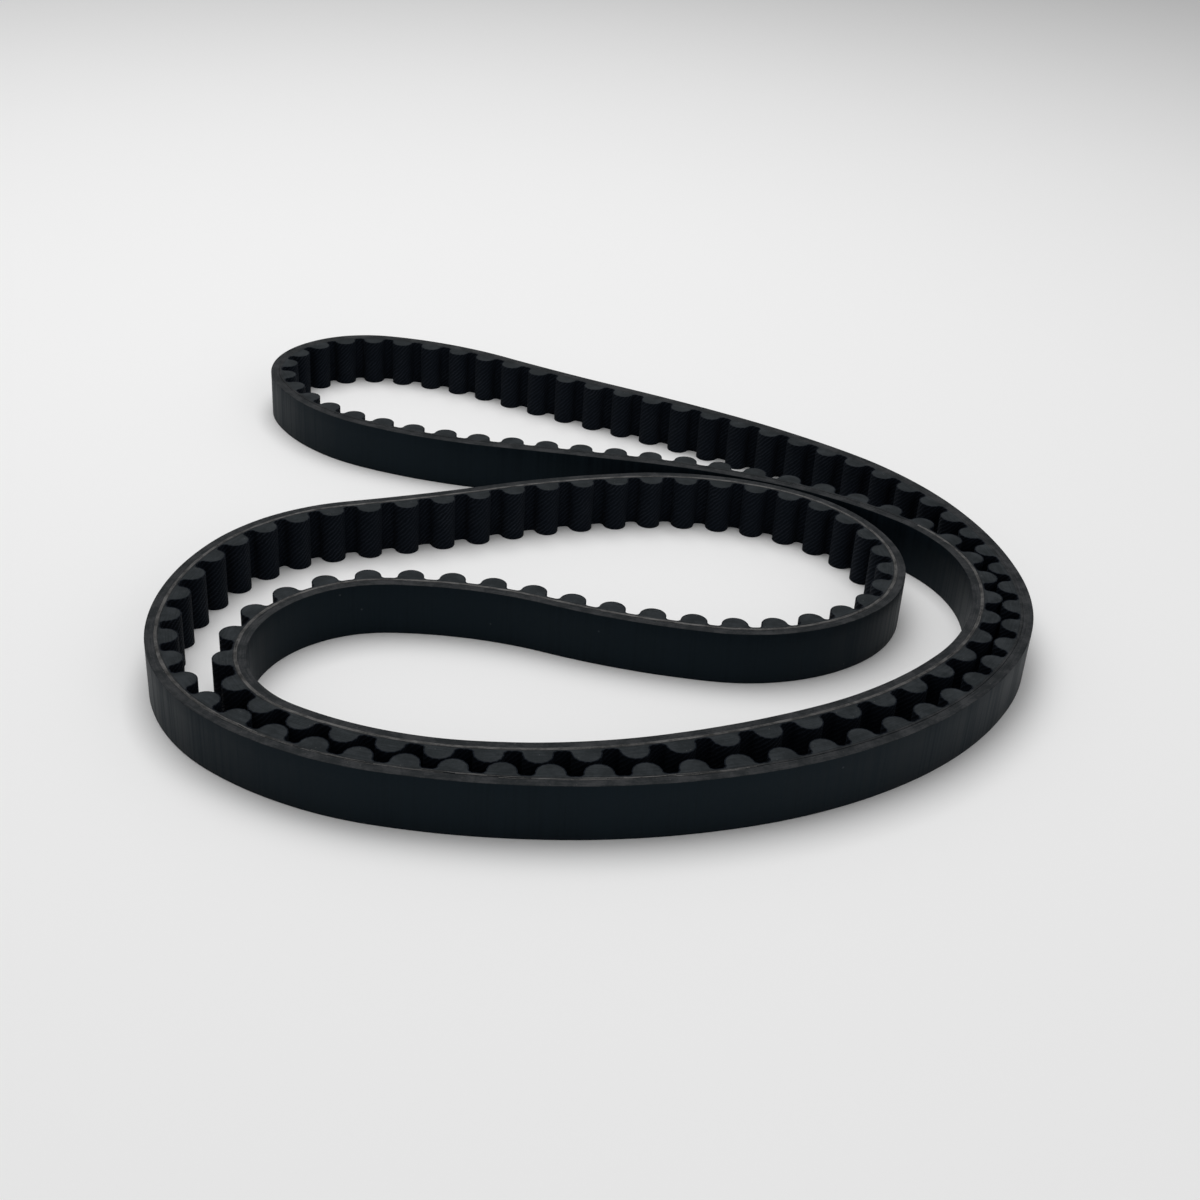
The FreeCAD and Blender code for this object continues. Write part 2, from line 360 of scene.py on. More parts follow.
class Pen:
    """Draws a line or carries a section in edit mode, one operator at a time.

    Args:
        name: Name of the piece that is drawn.
        start: Where the first line starts.
    """

    DOT = 1e-4

    def __init__(self, name: str, start: Vector) -> None:
        deselect()
        bpy.ops.mesh.primitive_plane_add(size=self.DOT, location=start)
        self.piece = bpy.context.object
        self.piece.name = name
        self.piece.data.name = name
        bpy.ops.object.mode_set(mode="EDIT")
        bpy.ops.mesh.select_all(action="SELECT")
        bpy.ops.mesh.merge(type="CENTER")

    def lift(self, start: Vector) -> None:
        """Starts another line in the same piece."""
        bpy.ops.mesh.primitive_plane_add(size=self.DOT, location=start)
        bpy.ops.mesh.merge(type="CENTER")

    def line(self, step: Vector) -> None:
        """Draws what is selected on by a straight step."""
        bpy.ops.mesh.extrude_region_move(TRANSFORM_OT_translate={"value": step})

    def arc(self, centre: Vector, turn: float, steps: int) -> None:
        """Draws what is selected on round an upright axis.

        Args:
            centre: A point of the axis.
            turn: How far, in radians, counterclockwise seen from above.
            steps: How many straight pieces stand for the arc.
        """
        bpy.ops.mesh.spin(steps=steps, angle=-turn, center=centre, axis=(0, 0, 1))

    def weld(self, nearer: float) -> None:
        """Joins all points that lie nearer than a distance."""
        bpy.ops.mesh.select_all(action="SELECT")
        bpy.ops.mesh.remove_doubles(threshold=nearer)

    def done(self) -> bpy.types.Object:
        """Leaves edit mode with the object at the origin.

        Returns:
            The drawn piece.
        """
        bpy.ops.object.mode_set(mode="OBJECT")
        bpy.ops.object.transform_apply(location=True, rotation=True, scale=True)
        return self.piece


def activate(piece: bpy.types.Object) -> None:
    """Selects one piece alone and makes it the active one.

    Args:
        piece: The piece.
    """
    deselect()
    piece.select_set(True)
    bpy.context.view_layer.objects.active = piece


def applied(piece: bpy.types.Object, kind: str, **settings: object) -> None:
    """Adds a modifier to the active piece and applies it.

    Args:
        piece: The piece to change.
        kind: Blender's name for the kind of modifier.
        settings: The modifier's own properties.
    """
    activate(piece)
    modifier = piece.modifiers.new(kind.lower(), kind)
    for key, value in settings.items():
        setattr(modifier, key, value)
    bpy.ops.object.modifier_apply(modifier=modifier.name)


def outward(piece: bpy.types.Object) -> None:
    """Turns every face of a closed piece outwards.

    Args:
        piece: The piece to change.
    """
    activate(piece)
    bpy.ops.object.mode_set(mode="EDIT")
    bpy.ops.mesh.select_all(action="SELECT")
    bpy.ops.mesh.normals_make_consistent(inside=False)
    bpy.ops.object.mode_set(mode="OBJECT")


def smooth(piece: bpy.types.Object, degrees: float) -> None:
    """Shades a piece smooth, apart from its sharp edges.

    Args:
        piece: The piece to shade.
        degrees: Angle past which an edge is sharp.
    """
    activate(piece)
    bpy.ops.object.shade_smooth_by_angle(angle=math.radians(degrees))


def rounded(piece: bpy.types.Object, width: float, segments: int) -> None:
    """Rounds the cut edges of a piece and shades it smooth.

    Args:
        piece: The piece to change.
        width: Width of the rounding.
        segments: How many faces go across it.
    """
    applied(piece, "BEVEL", width=width, segments=segments, limit_method="ANGLE",
            angle_limit=math.radians(CUT_ANGLE))
    smooth(piece, SMOOTH_BELOW)


def lay_map(piece: bpy.types.Object, run: np.ndarray, across: np.ndarray, teeth: int) -> None:
    """Gives a piece its own map: how far along the belt in teeth, and how far across in pitches.

    Args:
        piece: A finished piece.
        run: Place of each vertex along the belt, in teeth.
        across: Place of each vertex across, in metres.
        teeth: Number of teeth round the belt, where the map starts again.
    """
    mesh = piece.data
    corners = np.zeros(len(mesh.loops), np.int32)
    mesh.loops.foreach_get("vertex_index", corners)
    starts = np.zeros(len(mesh.polygons), np.int32)
    mesh.polygons.foreach_get("loop_start", starts)
    face_run = run[corners]
    sizes = np.diff(np.append(starts, len(corners)))
    highest = np.repeat(np.maximum.reduceat(face_run, starts), sizes)
    face_run = np.where(highest - face_run > teeth / 2, face_run + teeth, face_run)
    layer = mesh.uv_layers.new(name=MAP_NAME)
    pairs = np.stack([face_run, across[corners] / SIZES.pitch], 1)
    layer.data.foreach_set("uv", pairs.astype(np.float32).ravel())


def points_of(piece: bpy.types.Object) -> np.ndarray:
    """Places of all vertices of a piece.

    Args:
        piece: The piece.

    Returns:
        One row of x, y and z per vertex.
    """
    found = np.zeros(len(piece.data.vertices) * 3, np.float32)
    piece.data.vertices.foreach_get("co", found)
    return found.reshape(-1, 3).astype(float)


def level_faces(piece: bpy.types.Object, level: float = 0.5) -> np.ndarray:
    """Which faces look up or down, such as the cut edges of the belt.

    Args:
        piece: The piece.
        level: Least share of a face's normal that is upright.

    Returns:
        One truth value per face.
    """
    normals = np.zeros(len(piece.data.polygons) * 3, np.float32)
    piece.data.polygons.foreach_get("normal", normals)
    return np.abs(normals.reshape(-1, 3)[:, 2]) > level


@dataclass(frozen=True)
class ToothForm:
    """Outline of one tooth on a bend, lying a skin inside the worn surface.

    The root hollows touch both the head and the curved land, so their middles are where two
    circles cross.
    """

    bend: Bend
    middle: float
    skin: float

    ROOT_STEPS = 5
    HEAD_STEPS = 16

    @property
    def _root(self) -> tuple[float, float, float, float]:
        """The root hollow ahead of the tooth.

        Returns:
            How far ahead and how deep its middle lies, how much deeper than the head's middle
            that is, and its distance from the middle of the bend.
        """
        side = math.copysign(1, self.bend.radius)
        to_head = SIZES.head_radius + SIZES.root_radius
        to_centre = abs(self.bend.radius) - side * (SIZES.land_depth + SIZES.root_radius)
        axis = self.bend.radius - SIZES.head_depth
        drop = (to_head ** 2 - to_centre ** 2 + axis ** 2) / (2 * axis)
        return math.sqrt(to_head ** 2 - drop ** 2), SIZES.head_depth + drop, drop, to_centre

    @property
    def spread(self) -> float:
        """Length along the cord line from the middle of the tooth to where the land begins."""
        across, _, _, to_centre = self._root
        return abs(self.bend.radius) * math.asin(across / to_centre)

    def _at(self, side: int, across: float, depth: float) -> Vector:
        """Point beside the tooth's middle, behind it for side -1, ahead for 1."""
        return self.bend.beside(self.middle, side * across, depth)

    def foot(self, side: int) -> Vector:
        """Where the land meets a root hollow.

        Args:
            side: -1 for the hollow behind the tooth, 1 for the one ahead.

        Returns:
            The point, at the height of the lower edge.
        """
        across, depth, _, to_centre = self._root
        turned = math.copysign(1, self.bend.radius)
        share = (abs(self.bend.radius) - turned * (SIZES.land_depth - self.skin)) / to_centre
        foot_depth = self.bend.radius + (depth - self.bend.radius) * share
        return self._at(side, across * share, foot_depth)

    def neck(self, side: int) -> Vector:
        """Where a root hollow meets the round head.

        Args:
            side: -1 for the hollow behind the tooth, 1 for the one ahead.

        Returns:
            The point, at the height of the lower edge.
        """
        across, _, drop, _ = self._root
        share = (SIZES.head_radius - self.skin) / (SIZES.head_radius + SIZES.root_radius)
        return self._at(side, across * share, SIZES.head_depth + drop * share)

    def draw(self, pen: Pen) -> None:
        """Draws both hollows and the head, from one foot to the other.

        Args:
            pen: The pen, which stands at the foot behind the tooth.
        """
        across, depth, _, _ = self._root
        hollow = self._at(-1, across, depth)
        pen.arc(hollow, signed_turn(hollow, self.foot(-1), self.neck(-1)), self.ROOT_STEPS)
        head = self._at(1, 0.0, SIZES.head_depth)
        tip = self._at(1, 0.0, SIZES.head_depth + SIZES.head_radius)
        turn = signed_turn(head, self.neck(-1), tip) + signed_turn(head, tip, self.neck(1))
        pen.arc(head, turn, self.HEAD_STEPS)
        hollow = self._at(1, across, depth)
        pen.arc(hollow, signed_turn(hollow, self.neck(1), self.foot(1)), self.ROOT_STEPS)


MAP_NAME = "belt"
WELD = 0.02 * MM


@dataclass
class RubberLayer:
    """A layer of the belt's rubber, carried round the whole cord line.

    Args:
        path: The cord line.
        name: Name of the piece.
        near: Depth of its side towards the back.
        far: Depth of its side towards the teeth.
        corner: Radius of the corners where the knife cut it.
        dish: How far the knife left the middle of a cut edge lower than its sides.
        node: The CAD node that it stands for.
        swell: How far its surface wanders inwards.
    """

    path: BeltPath
    name: str
    near: float
    far: float
    corner: float
    dish: float
    node: str
    swell: float = 0.05 * MM

    STEP = 1.34 * MM
    CORNER_STEPS = 3
    EDGE_STEPS = 5
    SIDE_STEPS = 4
    SWELL_SIZE = 9 * MM
    SHARP = 35

    def _section(self) -> list[tuple[float, float]]:
        """Outline of the section.

        Returns:
            Depth and height of its corners in order, from the upper corner of the back.
        """
        quarter = [math.pi / 2 * step / self.CORNER_STEPS for step in range(self.CORNER_STEPS + 1)]
        upper = [(self.near + self.corner * (1 - math.cos(angle)),
                  SIZES.width - self.corner * (1 - math.sin(angle))) for angle in quarter]
        flat_start, flat_end = self.near + self.corner, self.far - self.corner
        for step in range(1, self.EDGE_STEPS):
            share = step / self.EDGE_STEPS
            depth = flat_start + (flat_end - flat_start) * share
            upper.append((depth, SIZES.width - self.dish * math.sin(math.pi * share)))
        upper += [(self.far - self.corner * (1 - math.cos(angle)),
                   SIZES.width - self.corner * (1 - math.sin(angle))) for angle in reversed(quarter)]
        lower = [(depth, SIZES.width - height) for depth, height in reversed(upper)]
        side = SIZES.width - 2 * self.corner
        rising = [(self.near, self.corner + side * step / self.SIDE_STEPS)
                  for step in range(1, self.SIDE_STEPS)]
        falling = [(self.far, height) for _, height in reversed(rising)]
        return upper + falling + lower + rising

    def build(self) -> bpy.types.Object:
        """Draws the section and carries it round every bend.

        Returns:
            The finished layer.
        """
        outline = self._section()
        start = self.path.bends[0]
        corners = [start.point(0.0, depth, height) for depth, height in outline]
        pen = Pen(self.name, corners[0])
        for here, there in zip(corners, corners[1:] + corners[:1]):
            pen.line(there - here)
        pen.weld(WELD / 10)
        for bend in self.path.bends:
            pen.arc(bend.centre, -bend.turn, math.ceil(bend.length / self.STEP))
        pen.weld(WELD / 2)
        piece = pen.done()
        outward(piece)
        if self.swell:
            texture = bpy.data.textures.new(self.name + "_swell", "CLOUDS")
            texture.noise_scale = self.SWELL_SIZE
            applied(piece, "DISPLACE", texture=texture, texture_coords="GLOBAL",
                    strength=self.swell, mid_level=1.0)
        smooth(piece, self.SHARP)
        run, depth = self.path.places(points_of(piece), self.path.bends)
        lay_map(piece, run, depth, self.path.teeth)
        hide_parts(self.node)
        return piece


@dataclass
class TeethRubber:
    """The rubber of the teeth of one stretch, one closed block per tooth.

    Args:
        path: The cord line.
        stretch: Name of the stretch.
    """

    path: BeltPath
    stretch: str

    BASE_STEPS = 4
    EDGE_ROUNDING = 0.09 * MM

    def build(self) -> bpy.types.Object:
        """Draws each tooth's outline, fills it and carries it up to the other cut edge.

        Returns:
            The finished blocks, as one piece.
        """
        bends = self.path.stretch(self.stretch)
        name = "tooth_blocks_" + self.stretch
        pen = None
        for bend in bends:
            for number in range(bend.teeth):
                tooth = ToothForm(bend, (number + 0.5) * SIZES.pitch, SIZES.fabric)
                if pen is None:
                    pen = Pen(name, tooth.foot(-1))
                else:
                    pen.lift(tooth.foot(-1))
                tooth.draw(pen)
                pen.arc(bend.centre, 2 * tooth.spread / bend.radius, self.BASE_STEPS)
                bpy.ops.mesh.select_linked()
                bpy.ops.mesh.remove_doubles(threshold=WELD)
                bpy.ops.mesh.edge_face_add()
                pen.line(Vector((0, 0, SIZES.width)))
        piece = pen.done()
        outward(piece)
        rounded(piece, self.EDGE_ROUNDING, 2)
        run, depth = self.path.places(points_of(piece), bends)
        lay_map(piece, run, depth, self.path.teeth)
        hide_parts("teeth_" + self.stretch)
        return piece


@dataclass
class ToothFacing:
    """The woven nylon that wears against the pulleys, one closed sleeve.

    Args:
        path: The cord line.
    """

    path: BeltPath

    LAND_STEPS = 2
    EDGE_ROUNDING = 0.04 * MM

    def _draw(self) -> Pen:
        """Draws the worn line all round the belt.

        Returns:
            The pen, still in edit mode.
        """
        first = self.path.bends[0]
        pen = Pen("tooth_facing", first.point(0.0, SIZES.land_depth))
        for bend in self.path.bends:
            for number in range(bend.teeth):
                tooth = ToothForm(bend, (number + 0.5) * SIZES.pitch, 0.0)
                land = -(SIZES.pitch / 2 - tooth.spread) / bend.radius
                pen.arc(bend.centre, land, self.LAND_STEPS)
                tooth.draw(pen)
                pen.arc(bend.centre, land, self.LAND_STEPS)
        pen.weld(WELD)
        return pen

    def _number(self, piece: bpy.types.Object) -> None:
        """Writes on each vertex of the line its place in teeth, by length over the surface.

        Args:
            piece: The drawn line.
        """
        mesh = piece.data
        beside: dict[int, list[int]] = {}
        for edge in mesh.edges:
            a, b = edge.vertices
            beside.setdefault(a, []).append(b)
            beside.setdefault(b, []).append(a)
        points = points_of(piece)
        start = self.path.bends[0].point(0.0, SIZES.land_depth)
        ahead = self.path.bends[0].point(SIZES.pitch / 8, SIZES.land_depth) - start
        origin = int(np.argmin(np.hypot(*(points[:, :2] - np.array(start.xy)).T)))
        order = [origin]
        following = max(beside[origin], key=lambda v: Vector(points[v] - points[origin]).dot(ahead))
        while following != origin:
            order.append(following)
            following = next(v for v in beside[order[-1]] if v != order[-2])
        steps = len(order) // self.path.teeth
        ring = points[order + [origin]]
        lengths = np.hypot(*np.diff(ring[:, :2], axis=0).T).reshape(self.path.teeth, steps)
        shares = np.cumsum(lengths, 1) / lengths.sum(1)[:, None]
        starts = np.hstack([np.zeros((self.path.teeth, 1)), shares[:, :-1]])
        place = np.arange(self.path.teeth)[:, None] + starts
        values = np.zeros(len(points), np.float32)
        values[order] = place.ravel()
        mesh.attributes.new("run", "FLOAT", "POINT").data.foreach_set("value", values)

    def build(self) -> bpy.types.Object:
        """Draws the worn line, carries it up and gives the cloth its thickness.

        Returns:
            The finished sleeve.
        """
        piece = self._draw().done()
        self._number(piece)
        bpy.ops.object.mode_set(mode="EDIT")
        bpy.ops.mesh.select_all(action="SELECT")
        bpy.ops.mesh.extrude_region_move(TRANSFORM_OT_translate={"value": (0, 0, SIZES.width)})
        bpy.ops.mesh.select_all(action="SELECT")
        bpy.ops.mesh.normals_make_consistent(inside=False)
        bpy.ops.object.mode_set(mode="OBJECT")
        if self._faces_rubber(piece):
            bpy.ops.object.mode_set(mode="EDIT")
            bpy.ops.mesh.flip_normals()
            bpy.ops.object.mode_set(mode="OBJECT")
        applied(piece, "SOLIDIFY", thickness=SIZES.fabric, offset=-1, use_even_offset=True)
        outward(piece)
        rounded(piece, self.EDGE_ROUNDING, 1)
        run = np.zeros(len(piece.data.vertices), np.float32)
        piece.data.attributes["run"].data.foreach_get("value", run)
        piece.data.attributes.remove(piece.data.attributes["run"])
        lay_map(piece, run.astype(float), points_of(piece)[:, 2], self.path.teeth)
        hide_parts("facing_fabric")
        return piece

    def _faces_rubber(self, piece: bpy.types.Object) -> bool:
        """Whether the sheet's faces look at the rubber and not at the pulleys.

        Args:
            piece: The sheet, before it has a thickness.

        Returns:
            True if they look at the rubber.
        """
        bend = self.path.bends[0]
        start = bend.point(0.0, SIZES.land_depth)
        inward = bend.beside(0.0, 0.0, 1.0) - bend.beside(0.0, 0.0, 0.0)
        nearest = min(piece.data.polygons, key=lambda face: (face.center.xy - start.xy).length)
        return nearest.normal.dot(inward) < 0


@dataclass
class SlitCord:
    """The last turn of cord, slit by the knife: strands that lie bare in the upper edge.

    Args:
        path: The cord line.
        first: Tooth where the cord comes up to the edge.
        last: Tooth where it leaves the edge.
        worn_until: Tooth up to which it shows only in patches.
    """

    path: BeltPath
    first: float = 40.0
    last: float = 127.5
    worn_until: float = 50.0

    STRANDS = 6
    STRAND_RADIUS = 0.06 * MM
    SPACING = 0.095 * MM
    PROUD = 0.045 * MM
    SIDES = 6
    STEPS_PER_TOOTH = 8
    SEED = 8
    WANDER = {"X": (1.7 * MM, 0.22 * MM), "Y": (2.3 * MM, 0.22 * MM), "Z": (2.3 * MM, 0.05 * MM)}

    def _lengths(self, draw: random.Random) -> list[tuple[float, float]]:
        """Where one strand is whole.

        Args:
            draw: The source of random lengths.

        Returns:
            Start and end of each whole length, in teeth along the belt.
        """
        lengths = []
        here = self.first + draw.uniform(0, 2)
        while here < self.last:
            worn = here < self.worn_until
            whole = draw.uniform(0.4, 1.6) if worn else draw.uniform(4, 18)
            lengths.append((here, min(here + whole, self.last)))
            here += whole + (draw.uniform(0.6, 2.5) if worn else draw.uniform(0.08, 0.7))
        return lengths

    def _strand(self, pen: Pen | None, depth: float, start: float, end: float) -> Pen:
        """Draws one whole length of strand as a thin tube.

        Args:
            pen: The pen, or None for the first length.
            depth: Depth of the strand.
            start: Where it starts, in teeth along the belt.
            end: Where it ends.

        Returns:
            The pen.
        """
        height = SIZES.width + self.PROUD - self.STRAND_RADIUS
        for bend in self.path.bends:
            begin = max(start, bend.first) - bend.first
            finish = min(end, bend.first + bend.teeth) - bend.first
            if finish <= begin:
                continue
            if start >= bend.first:
                along = begin * SIZES.pitch
                place = bend.point(along, depth, height)
                heading = bend.heading - along / bend.radius
                if pen is None:
                    pen = Pen("slit_cord", place)
                else:
                    pen.lift(place)
                bpy.ops.mesh.delete(type="VERT")
                bpy.ops.mesh.primitive_circle_add(
                    vertices=self.SIDES, radius=self.STRAND_RADIUS, location=place,
                    rotation=(math.pi / 2, 0, heading + math.pi / 2))
            turn = -(finish - begin) * SIZES.pitch / bend.radius
            pen.arc(bend.centre, turn, max(1, round((finish - begin) * self.STEPS_PER_TOOTH)))
        return pen

    def build(self) -> bpy.types.Object:
        """Draws every strand, closes its ends and lets it wander.

        Returns:
            The finished strands, as one piece.
        """
        draw = random.Random(self.SEED)
        pen = None
        for strand in range(self.STRANDS):
            depth = (strand - (self.STRANDS - 1) / 2) * self.SPACING
            for start, end in self._lengths(draw):
                pen = self._strand(pen, depth, start, end)
        bpy.ops.mesh.select_all(action="SELECT")
        bpy.ops.mesh.fill_holes(sides=self.SIDES)
        piece = pen.done()
        outward(piece)
        for axis, (size, strength) in self.WANDER.items():
            texture = bpy.data.textures.new("strand_wander_" + axis.lower(), "CLOUDS")
            texture.noise_scale = size
            applied(piece, "DISPLACE", texture=texture, texture_coords="GLOBAL", direction=axis,
                    strength=strength, mid_level=0.5)
        smooth(piece, 60)
        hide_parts("cord_slit_turn")
        return piece


class Graph:
    """Places and joins shader nodes in one tree.

    Args:
        tree: The node tree of a material or a group.
    """

    COLOUR_A = 6
    COLOUR_B = 7
    COLOUR_OUT = 2

    def __init__(self, tree: bpy.types.NodeTree) -> None:
        self.tree = tree

    def add(self, kind: str, feeds: dict[str | int, object] | None = None,
            **settings: object) -> bpy.types.Node:
        """Adds a node.

        Args:
            kind: Blender's name for the node, without its ShaderNode prefix.
            feeds: For each input, a socket to join to it or a value to set on it.
            settings: The node's own properties.

        Returns:
            The node.
        """
        node = self.tree.nodes.new("ShaderNode" + kind)
        for key, value in settings.items():
            setattr(node, key, value)
        for key, value in (feeds or {}).items():
            if isinstance(value, bpy.types.NodeSocket):
                self.tree.links.new(value, node.inputs[key])
            else:
                node.inputs[key].default_value = value
        return node

    def math(self, operation: str, *values: object) -> bpy.types.NodeSocket:
        """Output of a Math node, from sockets or plain numbers."""
        return self.add("Math", dict(enumerate(values)), operation=operation).outputs[0]

    def ranged(self, value: bpy.types.NodeSocket, low: float, high: float,
               to_low: float = 0.0, to_high: float = 1.0) -> bpy.types.NodeSocket:
        """A value carried smoothly from one range to another, and held at its ends.

        Args:
            value: The value.
            low: Start of its range.
            high: End of its range.
            to_low: What the start becomes.
            to_high: What the end becomes.

        Returns:
            The new value.
        """
        feeds = {"Value": value, "From Min": low, "From Max": high,
                 "To Min": to_low, "To Max": to_high}
        return self.add("MapRange", feeds, interpolation_type="SMOOTHSTEP").outputs["Result"]

    def mixed(self, share: object, first: object, second: object) -> bpy.types.NodeSocket:
        """Colour between two colours.

        Args:
            share: How much of the second colour.
            first: The first colour.
            second: The second colour.

        Returns:
            The mixed colour.
        """
        feeds = {"Factor": share, self.COLOUR_A: first, self.COLOUR_B: second}
        return self.add("Mix", feeds, data_type="RGBA").outputs[self.COLOUR_OUT]

    def noise(self, place: bpy.types.NodeSocket, scale: float, detail: float = 2.0,
              roughness: float = 0.5) -> bpy.types.NodeSocket:
        """Value of a noise texture.

        Args:
            place: Where it is read.
            scale: Its scale.
            detail: How many finer layers it has.
            roughness: How strong the finer layers are.

        Returns:
            The value, about 0.5 on average.
        """
        feeds = {"Vector": place, "Scale": scale, "Detail": detail, "Roughness": roughness}
        return self.add("TexNoise", feeds).outputs["Fac"]

    def stretched(self, place: bpy.types.NodeSocket, scales: object) -> bpy.types.NodeSocket:
        """A place multiplied along each axis."""
        return self.add("VectorMath", {0: place, 1: scales}, operation="MULTIPLY").outputs[0]


Sockets = dict[str, bpy.types.NodeSocket]


def shader_group(name: str, inputs: dict[str, tuple[str, object]], outputs: Sequence[str],
                 wire: Callable[[Graph, Sockets], Sockets]) -> bpy.types.NodeTree:
    """Makes a node group with named inputs and outputs.

    Args:
        name: Name of the group.
        inputs: Kind of socket and default value of each input.
        outputs: Names of its outputs, all single values.
        wire: Builds the inside from the inputs and returns the outputs.

    Returns:
        The group's node tree.
    """
    tree = bpy.data.node_groups.new(name, "ShaderNodeTree")
    for key, (kind, default) in inputs.items():
        socket = tree.interface.new_socket(key, in_out="INPUT", socket_type="NodeSocket" + kind)
        socket.default_value = default
    for key in outputs:
        tree.interface.new_socket(key, in_out="OUTPUT", socket_type="NodeSocketFloat")
    graph = Graph(tree)
    entry = tree.nodes.new("NodeGroupInput")
    leave = tree.nodes.new("NodeGroupOutput")
    for key, socket in wire(graph, {key: entry.outputs[key] for key in inputs}).items():
        tree.links.new(socket, leave.inputs[key])
    return tree


def wire_streaks(graph: Graph, given: Sockets) -> Sockets:
    """Faint streaks that run across the belt, left by the ground mould.

    Args:
        graph: The group's inside.
        given: The group's inputs.

    Returns:
        The output Tone.
    """
    spread = graph.add("CombineXYZ", {"X": given["Fineness"], "Y": given["Fineness"], "Z": 25.0})
    place = graph.stretched(given["Place"], spread.outputs[0])
    fine = graph.noise(place, 1.0, 3.0, 0.6)
    broad = graph.noise(graph.stretched(place, (0.13, 0.13, 0.5)), 1.0, 2.0)
    tone = graph.math("MULTIPLY_ADD", fine, 0.6, graph.math("MULTIPLY", broad, 0.4))
    return {"Tone": graph.ranged(tone, 0.36, 0.64)}


def wire_cut_marks(graph: Graph, given: Sockets) -> Sockets:
    """Scratches that the slitting knife drew along a cut edge, with torn grain between them.

    Args:
        graph: The group's inside.
        given: The group's inputs.

    Returns:
        The output Height and Tone.
    """
    spread = graph.add("CombineXYZ", {"X": 1.1, "Y": given["Fineness"], "Z": 0.0})
    place = graph.stretched(given["Map"], spread.outputs[0])
    scratches = graph.noise(place, 1.0, 4.0, 0.65)
    grain = graph.noise(given["Place"], 1900.0, 4.0, 0.8)
    blotches = graph.noise(given["Place"], 330.0, 3.0, 0.6)
    height = graph.math("MULTIPLY_ADD", scratches, 0.6, graph.math("MULTIPLY", grain, 0.4))
    tone = graph.math("MULTIPLY_ADD", blotches, 0.35, graph.math("MULTIPLY", height, 0.65))
    return {"Height": height, "Tone": graph.ranged(tone, 0.44, 0.58)}


def wire_twill(graph: Graph, given: Sockets) -> Sockets:
    """Slanting ribs of a twill cloth, each rib broken into the yarns that cross it.

    Args:
        graph: The group's inside.
        given: The group's inputs.

    Returns:
        The output Height and Crown.
    """
    parts = graph.add("SeparateXYZ", {0: given["Map"]}).outputs
    wander = graph.math("MULTIPLY", graph.noise(given["Place"], 520.0, 3.0), 1.1)
    along = graph.math("MULTIPLY", parts["X"], given["Ribs"])
    rising = graph.math("MULTIPLY", parts["Y"], given["Lean"])
    slant = graph.math("ADD", graph.math("SUBTRACT", along, rising), wander)
    rib = graph.math("SINE", graph.math("MULTIPLY", slant, 2 * math.pi))
    crossing = graph.math("MULTIPLY_ADD", rising, 2.0, along)
    yarn = graph.math("SINE", graph.math("MULTIPLY", crossing, 2 * math.pi))
    fuzz = graph.noise(given["Place"], 3600.0, 3.0, 0.7)
    height = graph.math("MULTIPLY_ADD", rib, 0.34, 0.5)
    height = graph.math("MULTIPLY_ADD", yarn, 0.1, height)
    height = graph.math("MULTIPLY_ADD", graph.math("SUBTRACT", fuzz, 0.5), 0.7, height)
    return {"Height": height, "Crown": graph.ranged(height, 0.45, 0.95)}


def wire_dust(graph: Graph, given: Sockets) -> Sockets:
    """Scattered pale specks of dust and talc.

    Args:
        graph: The group's inside.
        given: The group's inputs.

    Returns:
        The output Mask.
    """
    cells = graph.add("TexVoronoi", {"Vector": given["Place"], "Scale": given["Spacing"]}).outputs
    near = graph.ranged(cells["Distance"], 0.05, 0.16, 1.0, 0.0)
    pick = graph.add("SeparateXYZ", {0: cells["Color"]}).outputs["X"]
    chosen = graph.math("GREATER_THAN", pick, graph.math("SUBTRACT", 1.0, given["Amount"]))
    return {"Mask": graph.math("MULTIPLY", near, chosen)}


def wire_edge_rub(graph: Graph, given: Sockets) -> Sockets:
    """Where a face lies close to either cut edge and is rubbed.

    Args:
        graph: The group's inside.
        given: The group's inputs.

    Returns:
        The output Mask.
    """
    height = graph.add("SeparateXYZ", {0: given["Place"]}).outputs["Z"]
    half = SIZES.width / 2
    from_middle = graph.math("ABSOLUTE", graph.math("SUBTRACT", height, half))
    ragged = graph.math("MULTIPLY", graph.noise(given["Place"], 900.0, 3.0), given["Reach"])
    inner = graph.math("SUBTRACT", half, given["Reach"])
    return {"Mask": graph.ranged(graph.math("SUBTRACT", from_middle, ragged), inner, half)}


class Effect(Enum):
    """The surface effects that the finishes share."""

    STREAKS = "across_streaks"
    CUT_MARKS = "cut_marks"
    TWILL = "twill_weave"
    DUST = "dust_specks"
    EDGE_RUB = "edge_rub"


VECTOR_INPUT = ("Vector", (0.0, 0.0, 0.0))


Effects = dict[Effect, bpy.types.NodeTree]


def make_effects() -> Effects:
    """Builds each shared effect once.

    Returns:
        The node group of each effect.
    """
    return {
        Effect.STREAKS: shader_group(Effect.STREAKS.value, {
            "Place": VECTOR_INPUT, "Fineness": ("Float", 1500.0)}, ["Tone"], wire_streaks),
        Effect.CUT_MARKS: shader_group(Effect.CUT_MARKS.value, {
            "Map": VECTOR_INPUT, "Place": VECTOR_INPUT, "Fineness": ("Float", 60.0)},
            ["Height", "Tone"], wire_cut_marks),
        Effect.TWILL: shader_group(Effect.TWILL.value, {
            "Map": VECTOR_INPUT, "Place": VECTOR_INPUT,
            "Ribs": ("Float", 12.0), "Lean": ("Float", 6.0)},
            ["Height", "Crown"], wire_twill),
        Effect.DUST: shader_group(Effect.DUST.value, {
            "Place": VECTOR_INPUT, "Spacing": ("Float", 600.0), "Amount": ("Float", 0.05)},
            ["Mask"], wire_dust),
        Effect.EDGE_RUB: shader_group(Effect.EDGE_RUB.value, {
            "Place": VECTOR_INPUT, "Reach": ("Float", 0.4 * MM)}, ["Mask"], wire_edge_rub),
    }


Colour = tuple[float, float, float, float]


